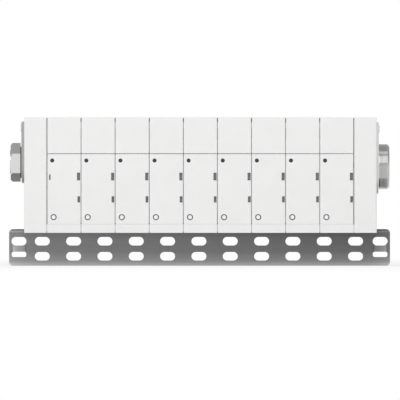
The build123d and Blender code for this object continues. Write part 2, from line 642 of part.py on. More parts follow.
def supply_fitting():
    """Hexagon air fitting: chamfered hexagon, collar at the mouth, shank and an open bore."""
    inner = PLATE_LEFT_FACE - FITTING_SEAL
    outer = inner - FITTING_HEX
    mouth_x = outer - FITTING_COLLAR
    bore_end = PLATE_LEFT_FACE + FITTING_SHANK
    hexagon = Rot(Z=FITTING_TURN) * RegularPolygon(FITTING_ACROSS / 2, 6, major_radius=False)
    prism = profile_x(Pos(PORT_Y, SUPPLY_Z) * Rot(Z=90) * hexagon, outer, inner)
    turned = round_x(PORT_Y, SUPPLY_Z, FITTING_ACROSS / cos(pi / 6), outer, inner)
    rim = turned.edges().filter_by(GeomType.CIRCLE).sort_by(Axis.X)[0]
    fitting = prism & chamfer(rim, FITTING_CHAMFER, FITTING_CHAMFER)
    fitting += round_x(PORT_Y, SUPPLY_Z, FITTING_SHANK_D, inner, bore_end)
    fitting += round_x(PORT_Y, SUPPLY_Z, FITTING_COLLAR_D, mouth_x, outer)
    fitting -= round_x(PORT_Y, SUPPLY_Z, FITTING_BORE_D, mouth_x, bore_end)
    mouth = [
        e
        for e in fitting.edges().filter_by(GeomType.CIRCLE)
        if abs(e.radius - FITTING_BORE_D / 2) < FIT_CLEARANCE and e.center().X < outer
    ]
    return chamfer(mouth, FITTING_MOUTH_CHAMFER)


def supply_seal():
    """Sealing ring squeezed between hexagon and port plate."""
    outer = PLATE_LEFT_FACE - FITTING_SEAL
    ring = round_x(PORT_Y, SUPPLY_Z, FITTING_SEAL_D, outer, PLATE_LEFT_FACE)
    hole = FITTING_SHANK_D + 2 * FIT_CLEARANCE
    return ring - round_x(PORT_Y, SUPPLY_Z, hole, outer, PLATE_LEFT_FACE)


def connector_shell():
    """Round shell of the multi-pin connector: a thread outside, a barrel through the plate."""
    plate = PLATE_RIGHT_FACE
    outer = plate + SHELL_LENGTH
    shell = round_x(PORT_Y, CONNECTOR_Z, SHELL_D, plate, outer)
    rims = shell.edges().filter_by(GeomType.CIRCLE).sort_by(Axis.X)
    shell = chamfer(rims[-1], SHELL_CHAMFER)
    barrel_end = plate - SHELL_BARREL
    shell += round_x(PORT_Y, CONNECTOR_Z, SHELL_BARREL_D, barrel_end, plate)
    shell -= round_x(PORT_Y, CONNECTOR_Z, SHELL_BORE_D, barrel_end + SHELL_SHELF, outer)
    shelf_hole = SHELL_BORE_D - 2 * SHELL_SHELF_RIM
    return shell - round_x(PORT_Y, CONNECTOR_Z, shelf_hole, barrel_end, barrel_end + SHELL_SHELF)


def connector_insert():
    """Insulating disc for the contacts, resting on the shelf in the shell."""
    face = PLATE_RIGHT_FACE + SHELL_LENGTH - INSERT_FACE_IN
    shelf = PLATE_RIGHT_FACE - SHELL_BARREL + SHELL_SHELF
    return round_x(PORT_Y, CONNECTOR_Z, SHELL_BORE_D - 2 * FIT_CLEARANCE, shelf, face)


def rod_ends():
    """Both ends of a tie rod along X."""
    reach = TIE_NUT_POCKET - TIE_NUT_HEIGHT - TIE_ROD_PROUD
    return STACK_LEFT + reach, STACK_RIGHT - reach


def tie_rod(z):
    """Threaded rod that clamps slices and end blocks together."""
    return round_x(TIE_ROD_Y, z, TIE_ROD_D, *rod_ends())


def tie_nut(z, x0, x1):
    """Hexagon nut on a tie rod."""
    hexagon = Pos(TIE_ROD_Y, z) * RegularPolygon(TIE_NUT_ACROSS / 2, 6, major_radius=False)
    return profile_x(hexagon, x0, x1) - round_x(TIE_ROD_Y, z, TIE_ROD_D, x0, x1)


def tie_nuts():
    """Nuts in the pockets of both end blocks."""
    left = STACK_LEFT + TIE_NUT_POCKET
    right = STACK_RIGHT - TIE_NUT_POCKET
    nuts = [tie_nut(z, left - TIE_NUT_HEIGHT, left) for z in TIE_ROD_ZS]
    return nuts + [tie_nut(z, right, right + TIE_NUT_HEIGHT) for z in TIE_ROD_ZS]


def export(name, *solids):
    """Write one node: a single solid, or a group of like solids."""
    shape = solids[0] if len(solids) == 1 else Compound(children=list(solids))
    export_step(shape, f"parts/{name}.step")


def main():
    os.makedirs("parts", exist_ok=True)
    export("mounting_rail", mounting_rail())
    export("rail_screws", *[rail_screw(x, y) for x, y in rail_screw_places()])
    export("end_block_left", end_block_left())
    export("end_block_right", end_block_right())
    for number, x in enumerate(STATION_XS, start=1):
        export(f"manifold_slice_{number}", manifold_slice(x))
        export(f"front_cover_{number}", front_cover(x, first=number == 1))
        export(f"override_button_{number}", override_button(x))
        export(f"valve_slide_{number}", valve_slide(x))
    export("terminal_caps", *[terminal_cap(x) for x in STATION_XS])
    export("valve_bodies", *[valve_body(x) for x in STATION_XS])
    export("seat_plates", *[seat_plate(x) for x in STATION_XS])
    export("pilot_solenoids", *[pilot_solenoid(x) for x in STATION_XS])
    export("indicator_lenses", *[indicator_lens(x) for x in STATION_XS])
    export("cover_latches", *[cover_latch(x) for x in STATION_XS])
    export("station_boards", *[station_board(x) for x in STATION_XS])
    export("bus_board", bus_board())
    gasket_xs = [SLICES_LEFT] + [x + STATION_PITCH / 2 for x in STATION_XS]
    export("seals", *[gasket(x) for x in gasket_xs], supply_seal())
    export("tie_rods", *[tie_rod(z) for z in TIE_ROD_ZS])
    export("tie_rod_nuts", *tie_nuts())
    left_hole = FITTING_SHANK_D + 2 * FIT_CLEARANCE
    left_top = STACK_TOP - PLATE_LEFT_DROP
    left_plate = port_plate(SUPPLY_Z, PLATE_LEFT_RADIUS, left_top, left_hole, STACK_LEFT, PLATE_LEFT_FACE)
    export("port_plate_left", left_plate)
    right_hole = SHELL_BARREL_D + 2 * FIT_CLEARANCE
    right_top = STACK_TOP - PLATE_RIGHT_DROP
    right_plate = port_plate(
        CONNECTOR_Z, PLATE_RIGHT_RADIUS, right_top, right_hole, STACK_RIGHT, PLATE_RIGHT_FACE
    )
    export("port_plate_right", right_plate)
    export("supply_fitting", supply_fitting())
    export("connector_shell", connector_shell())
    export("connector_insert", connector_insert())


main()
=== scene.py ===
# %% [markdown]
# # A pneumatic valve island
# The object is a row of nine pneumatic valves between two end blocks, standing on a perforated
# steel channel. Its solids come ready from the CAD model. This lesson loads them, gives every solid
# a finish, adds the small things that only show close up, and lights the whole for a picture taken
# straight from the front.

# %% Load the packed model
import math

import bmesh
import bpy
from mathutils import Matrix, Vector


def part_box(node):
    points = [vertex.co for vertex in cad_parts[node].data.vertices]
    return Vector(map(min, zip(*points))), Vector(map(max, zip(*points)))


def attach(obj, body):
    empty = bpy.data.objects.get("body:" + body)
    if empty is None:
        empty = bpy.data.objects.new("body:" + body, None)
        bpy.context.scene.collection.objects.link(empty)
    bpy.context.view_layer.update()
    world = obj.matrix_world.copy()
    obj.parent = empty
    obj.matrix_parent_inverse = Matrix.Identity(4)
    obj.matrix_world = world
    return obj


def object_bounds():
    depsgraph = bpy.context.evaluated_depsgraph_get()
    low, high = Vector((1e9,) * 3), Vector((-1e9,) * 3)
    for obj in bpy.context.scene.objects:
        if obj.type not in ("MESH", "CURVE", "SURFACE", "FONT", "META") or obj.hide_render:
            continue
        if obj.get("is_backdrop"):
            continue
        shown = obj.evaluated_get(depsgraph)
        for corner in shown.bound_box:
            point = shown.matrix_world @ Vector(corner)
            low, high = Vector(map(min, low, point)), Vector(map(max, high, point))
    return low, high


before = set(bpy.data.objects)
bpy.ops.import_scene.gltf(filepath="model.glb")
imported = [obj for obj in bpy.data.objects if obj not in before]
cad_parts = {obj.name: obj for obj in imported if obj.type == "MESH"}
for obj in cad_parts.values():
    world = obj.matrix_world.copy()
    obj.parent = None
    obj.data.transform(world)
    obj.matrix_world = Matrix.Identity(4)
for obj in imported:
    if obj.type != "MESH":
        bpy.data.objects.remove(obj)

MM = 0.001
cad_low, cad_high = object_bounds()
cad_size = [round(v, 4) for v in cad_high - cad_low]
print("solids loaded:", len(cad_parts), "in a box of", cad_size, "m")

# %% [markdown]
# ## Where things are
# Every new piece has to sit on a solid that is already there, so its place is read from that solid
# and not typed in again. A station is one valve with its cover. The covers give the nine places
# along X, and the box of a cover gives the front plane that the small pieces show in. The other way
# is to repeat the CAD model's numbers, which breaks as soon as one of them changes.

# %% Places read from the solids
STATIONS = 9


def middle(node):
    """The middle of a CAD node's box."""
    low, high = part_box(node)
    return (low + high) / 2


cover_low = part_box("front_cover_1")[0]
FRONT = cover_low.y
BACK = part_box("end_block_left")[1].y
station_xs = [middle(f"front_cover_{n}").x for n in range(1, STATIONS + 1)]
station_pitch = station_xs[1] - station_xs[0]
seam_xs = [station_xs[0] - station_pitch / 2 + n * station_pitch for n in range(STATIONS + 1)]
print("station pitch:", round(station_pitch / MM, 2), "mm")
print("front plane at y:", round(FRONT / MM, 2), "mm")

# %% [markdown]
# ## Shader maths as plain expressions
# A finish is worked out from noise and distances, and written with Math nodes it takes pages. Here
# a number in a shader is wrapped in a small class whose operators add those nodes, so that
# `0.4 + 0.1 * grain` is a real expression. Only values go this way: colours are mixed by a Mix
# node, because a Math node turns a colour grey.

# %% A number in a shader
class Term:
    """A number that varies over a surface. Python's operators on it add Math nodes."""

    def __init__(self, nodes, socket):
        self.nodes = nodes
        self.socket = socket

    def __add__(self, other):
        return self.nodes.math("ADD", self, other)

    __radd__ = __add__

    def __mul__(self, other):
        return self.nodes.math("MULTIPLY", self, other)

    __rmul__ = __mul__

    def __sub__(self, other):
        return self.nodes.math("SUBTRACT", self, other)

    def __rsub__(self, other):
        return self.nodes.math("SUBTRACT", other, self)

    def __pow__(self, other):
        return self.nodes.math("POWER", self, other)

    def __lt__(self, other):
        return self.nodes.math("LESS_THAN", self, other)


print("a term adds a node for each of + - * ** <")

# %% [markdown]
# ## Adding nodes in one way
# Every tree of nodes, of a finish or of the room, is put together by the same four methods. A node
# is asked for by its kind, its settings and what goes into its sockets, in one call. Written out
# with links, each would take four or five lines, and what feeds what would be hard to see.

# %% A tree of nodes
class Nodes:
    """A node tree, and the few ways in which this lesson adds to it."""

    def __init__(self, tree):
        self.tree = tree

    def node(self, kind, settings=None, inputs=None):
        """A node with its settings, and then the values or links of its sockets."""
        made = self.tree.nodes.new(kind)
        for name, value in (settings or {}).items():
            if name == "stops":
                self.set_stops(made.color_ramp, value)
            else:
                setattr(made, name, value)
        for socket, value in (inputs or {}).items():
            self.connect(value, made.inputs[socket])
        return made

    def set_stops(self, ramp, stops):
        """Places a ramp's stops, each a position and a grey level."""
        while len(ramp.elements) < len(stops):
            ramp.elements.new(1.0)
        for element, (position, level) in zip(ramp.elements, stops):
            element.position = position
            element.color = (level, level, level, 1.0)

    def connect(self, value, socket):
        """Links a term or a socket, or sets a plain value."""
        if isinstance(value, Term):
            value = value.socket
        if isinstance(value, bpy.types.NodeSocket):
            self.tree.links.new(value, socket)
        else:
            socket.default_value = value

    def math(self, operation, first, second=0.0):
        """A Math node, as a term that can be used in an expression."""
        made = self.node("ShaderNodeMath", {"operation": operation}, {0: first, 1: second})
        return Term(self, made.outputs[0])


print("ways to add nodes:", [name for name in vars(Nodes) if not name.startswith("_")])

# %% [markdown]
# ## One class for a finish
# A finish is one Principled shader and what feeds it. Numbers that are the same all over the
# surface are set on the shader's own sockets. What varies feeds colour, roughness or a bump, which
# any program can bake to a picture. All patterns start from Object coordinates in metres: every
# mesh here lies in the object's own frame, so a grain of half a millimetre is that size on each
# piece, and it stays on its piece when the camera or a joint moves.

# %% A finish and its nodes
# In a Mix node that mixes colours, the two colours and the result are these sockets.
COLOUR_LOW = 6
COLOUR_HIGH = 7
MIXED_COLOUR = 2


class Finish(Nodes):
    """A procedural material: one Principled shader and the nodes that feed it."""

    def __init__(self, name, constants):
        self.material = bpy.data.materials.new(name)
        self.material.use_nodes = True
        super().__init__(self.material.node_tree)
        self.shader = self.tree.nodes["Principled BSDF"]
        for socket, value in constants.items():
            self.shader.inputs[socket].default_value = value
        self.place = self.node("ShaderNodeTexCoord").outputs["Object"]
        print("finish:", name)

    def noise(self, per_metre, detail=2.0, stretch=(1.0, 1.0, 1.0)):
        """Noise with so many cells to the metre. A stretch below 1 draws them out along an axis."""
        scale = [per_metre * s for s in stretch]
        place = self.node("ShaderNodeMapping", None, {"Vector": self.place, "Scale": scale})
        inputs = {"Vector": place.outputs[0], "Scale": 1.0, "Detail": detail}
        made = self.node("ShaderNodeTexNoise", None, inputs)
        return Term(self, made.outputs[0])

    def axes(self, centre=(0.0, 0.0, 0.0)):
        """The three coordinates, counted from a centre."""
        shift = [-c for c in centre]
        place = self.node("ShaderNodeMapping", None, {"Vector": self.place, "Location": shift})
        made = self.node("ShaderNodeSeparateXYZ", None, {0: place.outputs[0]})
        return [Term(self, output) for output in made.outputs]

    def tint(self, share, low, high):
        """A colour between two, by a share from 0 to 1."""
        made = self.node("ShaderNodeMix", {"data_type": "RGBA"})
        self.connect(share, made.inputs["Factor"])
        self.connect((*low, 1.0), made.inputs[COLOUR_LOW])
        self.connect((*high, 1.0), made.inputs[COLOUR_HIGH])
        return made.outputs[MIXED_COLOUR]

    def feed(self, socket, value):
        """Feeds one of the shader's own sockets, such as Base Color."""
        self.connect(value, self.shader.inputs[socket])

    def bump(self, height, depth):
        """Relief: a height from 0 to 1 stands for a depth in metres."""
        inputs = {"Height": height, "Distance": depth, "Strength": 1.0}
        made = self.node("ShaderNodeBump", None, inputs)
        self.feed("Normal", made.outputs[0])


def shade(colour, share):
    """A colour made darker or lighter by a share."""
    return tuple(min(1.0, c * share) for c in colour)


print("ways to build a finish:", [name for name in vars(Finish) if not name.startswith("_")])

# %% [markdown]
# ## Moulded plastic
# The covers, caps and manifold slices are injection mouldings in a pale warm grey. The mould was
# spark eroded, so the skin has a dull grain of about a third of a millimetre, and the colour clouds
# very slightly where the melt flowed. One function makes this finish for every plastic on the
# object, from a colour, a dullness and a depth of grain, because these three are all that tells one
# moulding from another.

# %% Finishes for moulded parts
def moulded_plastic(name, colour, roughness, grain_depth):
    """Plastic from a spark-eroded mould: faint flow clouds and a fine dull grain."""
    finish = Finish(name, {"IOR": 1.5})
    clouds = finish.noise(per_metre=45.0, detail=3.0)
    grain = finish.noise(per_metre=3200.0, detail=2.0)
    finish.feed("Base Color", finish.tint(clouds, shade(colour, 0.965), shade(colour, 1.02)))
    finish.feed("Roughness", roughness - 0.06 + 0.12 * grain)
    finish.bump(grain, depth=grain_depth)
    return finish.material


HOUSING_GREY = (0.845, 0.845, 0.84)
BUTTON_WHITE = (0.93, 0.93, 0.93)
PILOT_BLACK = (0.022, 0.022, 0.024)
LATCH_GREY = (0.2, 0.2, 0.205)
INSERT_BLACK = (0.028, 0.028, 0.03)
LENS_SMOKE = (0.03, 0.031, 0.034)

# Each finish takes a name, a colour, a roughness and the depth of its grain in metres.
housing_plastic = moulded_plastic("light_grey_moulded_plastic", HOUSING_GREY, 0.46, 9e-6)
button_plastic = moulded_plastic("white_button_plastic", BUTTON_WHITE, 0.35, 2e-6)
pilot_plastic = moulded_plastic("black_pilot_plastic", PILOT_BLACK, 0.5, 6e-6)
latch_plastic = moulded_plastic("dark_grey_latch_plastic", LATCH_GREY, 0.5, 5e-6)
insert_plastic = moulded_plastic("black_insert_plastic", INSERT_BLACK, 0.42, 3e-6)
lens_plastic = moulded_plastic("smoked_lens_plastic", LENS_SMOKE, 0.16, 1e-6)
print("plastics:", len([m for m in bpy.data.materials if "plastic" in m.name]))

# %% [markdown]
# ## The coated end blocks
# The end blocks are die castings under a powder coat of the covers' colour. Powder melts into a
# skin with a soft waviness, called orange peel, which is wider and smoother than a mould's grain.
# So this finish bumps with larger cells, keeps the surface a little glossier and leaves the colour
# nearly even.

# %% Powder coat
def powder_coat(name, colour):
    """A baked powder coat: even colour, orange peel of about one and a half millimetres."""
    finish = Finish(name, {"IOR": 1.5})
    peel = finish.noise(per_metre=650.0, detail=1.0)
    dust = finish.noise(per_metre=5200.0, detail=1.0)
    finish.feed("Base Color", finish.tint(dust, shade(colour, 0.975), shade(colour, 1.01)))
    finish.feed("Roughness", 0.4 + 0.06 * peel)
    finish.bump(0.8 * peel + 0.2 * dust, depth=1.4e-5)
    return finish.material


end_block_coat = powder_coat("end_block_powder_coat", HOUSING_GREY)

# %% [markdown]
# ## Brushed sheet
# The channel is stainless sheet, brushed along its length before it was punched and folded. Brush
# marks are long and thin, so the noise is drawn out fifty to eighty times along X. A cloudy noise
# varies the dullness as handling does. The sheet could be given an anisotropic shader instead, but
# that needs tangents, and drawn-out noise in roughness and relief gives the same streaks from every
# side.
#
# The sheet's colour isn't one grey, and most of what changes in it is painted light. It is painted
# darker towards the top of the web, as shade under the covers, and paler round the bottom fold, as
# a painted reflection. Painted light makes it a little paler to the left and at both ends, and the
# two raised bridges get a painted highlight. A ramp follows the height on the web and goes on round
# the fold for a few millimetres, and an expression on X does the rest. These painted tones were
# chosen and are a part of the colour here, so they stay with the sheet when the light changes.

# %% Brushed stainless sheet
rail_low, rail_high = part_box("mounting_rail")
BRIDGE_RISE = 1.2 * MM
web_front = rail_low.y + BRIDGE_RISE
SHEET_GREY = (0.207, 0.207, 0.207)
BLACK = (0.0, 0.0, 0.0)
PALEST = 3.0
# Painted shade and painted reflection by height: heights are shares of the channel's height, and
# tones are shares of the palest one.
PAINTED_SHADE_BY_HEIGHT = (
    (0.0, 1.0),
    (0.035, 0.96),
    (0.08, 0.54),
    (0.13, 0.42),
    (0.38, 0.29),
    (1.0, 0.25),
)
ROUND_THE_FOLD = 5.0 * MM
# Painted light across the sheet: paler to the left and towards both ends, and a painted highlight
# on the raised bridges.
PAINTED_LIGHT_MIDDLE = 0.96
PAINTED_LIGHT_PER_METRE = -2.1
PAINTED_END_LIGHT = 0.35
PAINTED_BRIDGE_HIGHLIGHT = 1.3
ENDS_ONLY = 8.0
DARKEST_STREAK = 0.86
STREAK_SPAN = 0.28


def brushed_sheet(name, colour):
    """Stainless sheet with brush marks along X, clouds of handling and painted light in its colour.
    """
    finish = Finish(name, {"Metallic": 0.9})
    marks = finish.noise(per_metre=2600.0, detail=2.0, stretch=(0.012, 1.0, 1.0))
    bands = finish.noise(per_metre=420.0, detail=2.0, stretch=(0.02, 1.0, 1.0))
    clouds = finish.noise(per_metre=28.0, detail=3.0)
    streak = 0.6 * marks + 0.4 * bands
    x, y, z = finish.axes((0.0, web_front, 0.0))
    round_fold = finish.math("MINIMUM", finish.math("MAXIMUM", y, 0.0), ROUND_THE_FOLD)
    height = (z + round_fold) * (1.0 / rail_high.z)
    # The colour carries painted shade and painted reflection by height, and painted light across
    # the sheet and on the bridges.
    ramp = finish.node("ShaderNodeValToRGB", {"stops": PAINTED_SHADE_BY_HEIGHT}, {0: height})
    near_ends = (x * x * (1.0 / rail_high.x**2)) ** ENDS_ONLY
    across = PAINTED_LIGHT_MIDDLE + PAINTED_LIGHT_PER_METRE * x * height**0.5 + PAINTED_END_LIGHT * near_ends
    bridge_highlight = 1.0 + PAINTED_BRIDGE_HIGHLIGHT * near_ends * (y < -0.5 * BRIDGE_RISE)
    streaks = DARKEST_STREAK + STREAK_SPAN * streak
    streaks_and_painted_light = Term(finish, ramp.outputs[0]) * across * bridge_highlight * streaks
    finish.feed("Base Color", finish.tint(streaks_and_painted_light, BLACK, shade(colour, PALEST)))
    finish.feed("Roughness", 0.26 + 0.12 * streak + 0.1 * clouds)
    finish.bump(streak, depth=5e-6)
    return finish.material


rail_steel = brushed_sheet("brushed_stainless_sheet", SHEET_GREY)

# %% [markdown]
# ## Turned and rolled metal
# The air fitting and the connector's shell were turned on a lathe and then nickel plated. A lathe
# leaves rings: round the outside they depend only on the place along the axis, and on an end face
# only on the radius. The sum of the two, fed to noise in one dimension, draws both kinds of ring
# with a single expression. Screws, nuts and rods are rolled or pressed, so they get blotchy zinc
# instead. In other colours, the same blotch serves the anodised port plates, the valve bodies, the
# ground seat plates and the gold on the contacts.

# %% Turned nickel and zinc
RINGS_PER_METRE = 2400.0


def turned_nickel(name, colour, centre):
    """Nickel plate over turned brass, with the lathe's rings about an axis along X."""
    finish = Finish(name, {"Metallic": 1.0})
    x, y, z = finish.axes(centre)
    radius = (y * y + z * z) ** 0.5
    inputs = {"W": (x + radius) * RINGS_PER_METRE, "Scale": 1.0, "Detail": 2.0}
    rings = finish.node("ShaderNodeTexNoise", {"noise_dimensions": "1D"}, inputs)
    ring = Term(finish, rings.outputs[0])
    clouds = finish.noise(per_metre=60.0, detail=3.0)
    finish.feed("Base Color", finish.tint(clouds, shade(colour, 0.93), shade(colour, 1.04)))
    finish.feed("Roughness", 0.1 + 0.1 * ring + 0.08 * clouds)
    finish.bump(ring, depth=5e-6)
    return finish.material


def plated_metal(name, colour, roughness):
    """Plated, anodised or ground metal: a fine blotch in colour and shine."""
    finish = Finish(name, {"Metallic": 1.0})
    blotch = finish.noise(per_metre=900.0, detail=3.0)
    finish.feed("Base Color", finish.tint(blotch, shade(colour, 0.85), shade(colour, 1.1)))
    finish.feed("Roughness", roughness - 0.08 + 0.16 * blotch)
    finish.bump(blotch, depth=4e-6)
    return finish.material


BRIGHT_NICKEL = (0.73, 0.725, 0.715)
SATIN_NICKEL = (0.55, 0.545, 0.54)
ZINC_GREY = (0.66, 0.67, 0.69)
ALUMINIUM_LEFT_PLATE = (0.5, 0.5, 0.5)
ALUMINIUM_RIGHT_PAINTED_LIGHT = (0.8, 0.8, 0.8)
CONTACT_GOLD = (0.83, 0.62, 0.28)
fitting_axis = middle("supply_fitting")
shell_axis = middle("connector_shell")

# A turned finish takes a name, a colour and a point on its axis. The others take a name, a colour
# and a roughness.
fitting_nickel = turned_nickel("bright_nickel_on_fitting", BRIGHT_NICKEL, fitting_axis)
shell_nickel = turned_nickel("satin_nickel_on_shell", SATIN_NICKEL, shell_axis)
zinc = plated_metal("zinc_plated_steel", ZINC_GREY, 0.36)
# The two port plates are one anodised aluminium; the right plate's paler colour is painted light on
# that side.
plate_left_metal = plated_metal("anodised_aluminium_left_plate", ALUMINIUM_LEFT_PLATE, 0.5)
plate_right_metal = plated_metal("anodised_aluminium_right_painted_light", ALUMINIUM_RIGHT_PAINTED_LIGHT, 0.5)
contact_gold = plated_metal("gold_flashed_contacts", CONTACT_GOLD, 0.3)

# %% [markdown]
# ## Rubber, ceramic and circuit boards
# Seals are black rubber, dull and slightly bloomed with pale wax. The valve slides are lapped
# ceramic. The boards are green solder mask with rows of tracks under it, drawn by comparing a
# repeating ramp with a width. These parts are inside, and still each gets its own finish, because
# someone may take the covers off the model.

# %% Finishes for the inner parts
TRACKS_PER_METRE = 650.0
TRACK_WANDER = 1.5
TRACK_SHARE = 0.38


def black_rubber(name):
    """Moulded rubber with a trace of wax bloom."""
    finish = Finish(name, {"IOR": 1.52})
    bloom = finish.noise(per_metre=700.0, detail=4.0)
    finish.feed("Base Color", finish.tint(bloom, (0.012, 0.012, 0.013), (0.04, 0.04, 0.042)))
    finish.feed("Roughness", 0.6 + 0.2 * bloom)
    finish.bump(bloom, depth=6e-6)
    return finish.material


def lapped_ceramic(name):
    """Dense white ceramic with a fine mottle."""
    finish = Finish(name, {"IOR": 1.76})
    mottle = finish.noise(per_metre=1500.0, detail=3.0)
    finish.feed("Base Color", finish.tint(mottle, (0.8, 0.79, 0.76), (0.9, 0.89, 0.87)))
    finish.feed("Roughness", 0.22 + 0.1 * mottle)
    return finish.material


def circuit_board(name):
    """Green solder mask, raised and lighter where a track runs under it."""
    finish = Finish(name, {"IOR": 1.5})
    x = finish.axes()[0]
    wander = finish.noise(per_metre=220.0, detail=0.0)
    across = finish.math("FRACT", x * TRACKS_PER_METRE + wander * TRACK_WANDER)
    track = across < TRACK_SHARE
    weave = finish.noise(per_metre=4000.0, detail=1.0)
    finish.feed("Base Color", finish.tint(track, (0.012, 0.085, 0.035), (0.02, 0.15, 0.06)))
    finish.feed("Roughness", 0.3 + 0.1 * weave)
    finish.bump(0.7 * track + 0.3 * weave, depth=2e-5)
    return finish.material


seal_rubber = black_rubber("black_seal_rubber")
slide_ceramic = lapped_ceramic("lapped_slide_ceramic")
board_mask = circuit_board("green_circuit_board")
aluminium = plated_metal("valve_body_aluminium", (0.6, 0.6, 0.6), 0.45)
seat_steel = plated_metal("ground_seat_steel", (0.55, 0.55, 0.56), 0.25)
print("finishes:", len([m for m in bpy.data.materials if m.use_nodes]))

# %% [markdown]
# ## Dressing the solids
# Each solid keeps its mesh and only changes its material. Nodes of one kind share the start of
# their name, so a table of name and finish is enough, and the loop stops if a solid is left without
# a finish.

# %% A finish for every solid
FINISH_OF = {
    "mounting_rail": rail_steel,
    "rail_screws": zinc,
    "end_block": end_block_coat,
    "manifold_slice": housing_plastic,
    "front_cover": housing_plastic,
    "terminal_caps": housing_plastic,
    "override_button": button_plastic,
    "valve_slide": slide_ceramic,
    "valve_bodies": aluminium,
    "seat_plates": seat_steel,
    "pilot_solenoids": pilot_plastic,
    "indicator_lenses": lens_plastic,
    "cover_latches": latch_plastic,
    "station_boards": board_mask,
    "bus_board": board_mask,
    "seals": seal_rubber,
    "tie_rod": zinc,
    "port_plate_left": plate_left_metal,
    "port_plate_right": plate_right_metal,
    "supply_fitting": fitting_nickel,
    "connector_shell": shell_nickel,
    "connector_insert": insert_plastic,
}

for node_name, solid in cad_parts.items():
    finishes = [finish for start, finish in FINISH_OF.items() if node_name.startswith(start)]
    solid.material_slots[0].material = finishes[0]
print("solids dressed:", len(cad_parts))

# %% [markdown]
# ## From a bmesh to a piece
# Every new piece is shaped in a bmesh and ends the same way: its normals are turned outwards, its
# round sides are shaded smooth and its edges left sharp, and it is tied to the body that it moves
# with. Its place is in its mesh, so the object itself stays at the origin.

# %% Finishing a piece
SHARP_DEGREES = 32


def object_of(name, shape, finish):
    """An object at the origin, with the mesh of a bmesh and one finish."""
    mesh = bpy.data.meshes.new(name)
    shape.to_mesh(mesh)
    shape.free()
    mesh.materials.append(finish)
    made = bpy.data.objects.new(name, mesh)
    bpy.context.scene.collection.objects.link(made)
    return made


def piece(name, shape, finish, body="island"):
    """Makes an object of a bmesh, shades it and ties it to a body."""
    bmesh.ops.recalc_face_normals(shape, faces=shape.faces)
    made = object_of(name, shape, finish)
    made.data.shade_smooth()
    made.data.set_sharp_from_angle(angle=math.radians(SHARP_DEGREES))
    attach(made, body)
    print(name, "faces:", len(made.data.polygons))


print("edges of more than", SHARP_DEGREES, "degrees stay sharp")

# %% [markdown]
# ## Screw threads
# The connector's shell has a thread outside, and the air ports have one inside. A thread is a small
# triangle carried round an axis while it creeps along it, which is what the spin operator does when
# it is given a step along the axis as well as an angle. A texture of rings would be lighter, but
# the crests catch the light and show in the outline. The two ends of the ridge stay open after the
# spin, so they are filled.

# %% A thread ridge
RIDGE_HALF = 0.45  # half the foot of the ridge, as a share of the pitch


def add_thread(shape, start, along, root, crest, pitch, length, sides):
    """Winds a triangular ridge round the axis that leaves start along a direction."""
    along = Vector(along)
    outward = Vector((0.0, 0.0, 1.0))
    half = along * pitch * RIDGE_HALF
    foot = start + outward * root
    corners = (foot - half, start + outward * crest, foot + half)
    made = [shape.verts.new(corner) for corner in corners]
    section = shape.faces.new(made)
    turns = length / pitch
    steps = round(turns * sides)
    bmesh.ops.spin(
        shape,
        geom=made + list(section.edges) + [section],
        cent=start,
        axis=along,
        dvec=along * (length / steps),
        angle=math.tau * turns,
        steps=steps,
        use_duplicate=False,
    )
    open_edges = [edge for edge in shape.edges if edge.is_boundary]
    bmesh.ops.holes_fill(shape, edges=open_edges, sides=3)


SHELL_PITCH = 1.0 * MM
SHELL_FIRST_TURN = 0.9 * MM
SHELL_BARE_END = 2.1 * MM
SHELL_ROOT_IN = 0.15 * MM
SHELL_CREST_OUT = 0.22 * MM
TO_THE_RIGHT = (1.0, 0.0, 0.0)
TO_THE_FRONT = (0.0, -1.0, 0.0)

shell_low, shell_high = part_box("connector_shell")
shell_radius = (shell_high.z - shell_low.z) / 2
first_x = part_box("port_plate_right")[1].x + SHELL_FIRST_TURN
shape = bmesh.new()
add_thread(
    shape,
    start=Vector((first_x, shell_axis.y, shell_axis.z)),
    along=TO_THE_RIGHT,
    root=shell_radius - SHELL_ROOT_IN,
    crest=shell_radius + SHELL_CREST_OUT,
    pitch=SHELL_PITCH,
    length=shell_high.x - first_x - SHELL_BARE_END,
    sides=48,
)
piece("connector_thread", shape, shell_nickel)

# %% [markdown]
# ## Threads in the air ports
# The outlets of the nine stations and the two exhaust ports are threaded holes in the back, and the
# supply fitting has one inside its bore. All of them use the ridge from above, wound on the inside
# of the hole: the crest is then nearer the axis than the root. The first turn starts just under the
# surface, as a tapped hole's does. A hole has no box of its own to read, so the heights and radii
# of the holes are the CAD model's numbers.

# %% Port threads
PORT_RADIUS = 11.45 / 2 * MM
FITTING_BORE = 7.5 * MM
PORT_PITCH = 1.34 * MM
THREAD_DEPTH = 0.45 * MM
THREAD_ROOT = 0.1 * MM
PORT_MOUTH = 1.2 * MM
PORT_THREAD = 8.5 * MM
FITTING_MOUTH = 1.8 * MM
FITTING_THREAD = 15.0 * MM
OUTLET_HEIGHTS = (48.0 * MM, 68.0 * MM)
EXHAUST_HEIGHT = sum(OUTLET_HEIGHTS) / 2

port_places = [(x, z) for x in station_xs for z in OUTLET_HEIGHTS]
for block in ("end_block_left", "end_block_right"):
    port_places.append((middle(block).x, EXHAUST_HEIGHT))

one_thread = bmesh.new()
add_thread(
    one_thread,
    start=Vector((0.0, BACK - PORT_MOUTH, 0.0)),
    along=TO_THE_FRONT,
    root=PORT_RADIUS + THREAD_ROOT,
    crest=PORT_RADIUS - THREAD_DEPTH,
    pitch=PORT_PITCH,
    length=PORT_THREAD,
    sides=24,
)
thread_mesh = bpy.data.meshes.new("one_port_thread")
one_thread.to_mesh(thread_mesh)
one_thread.free()

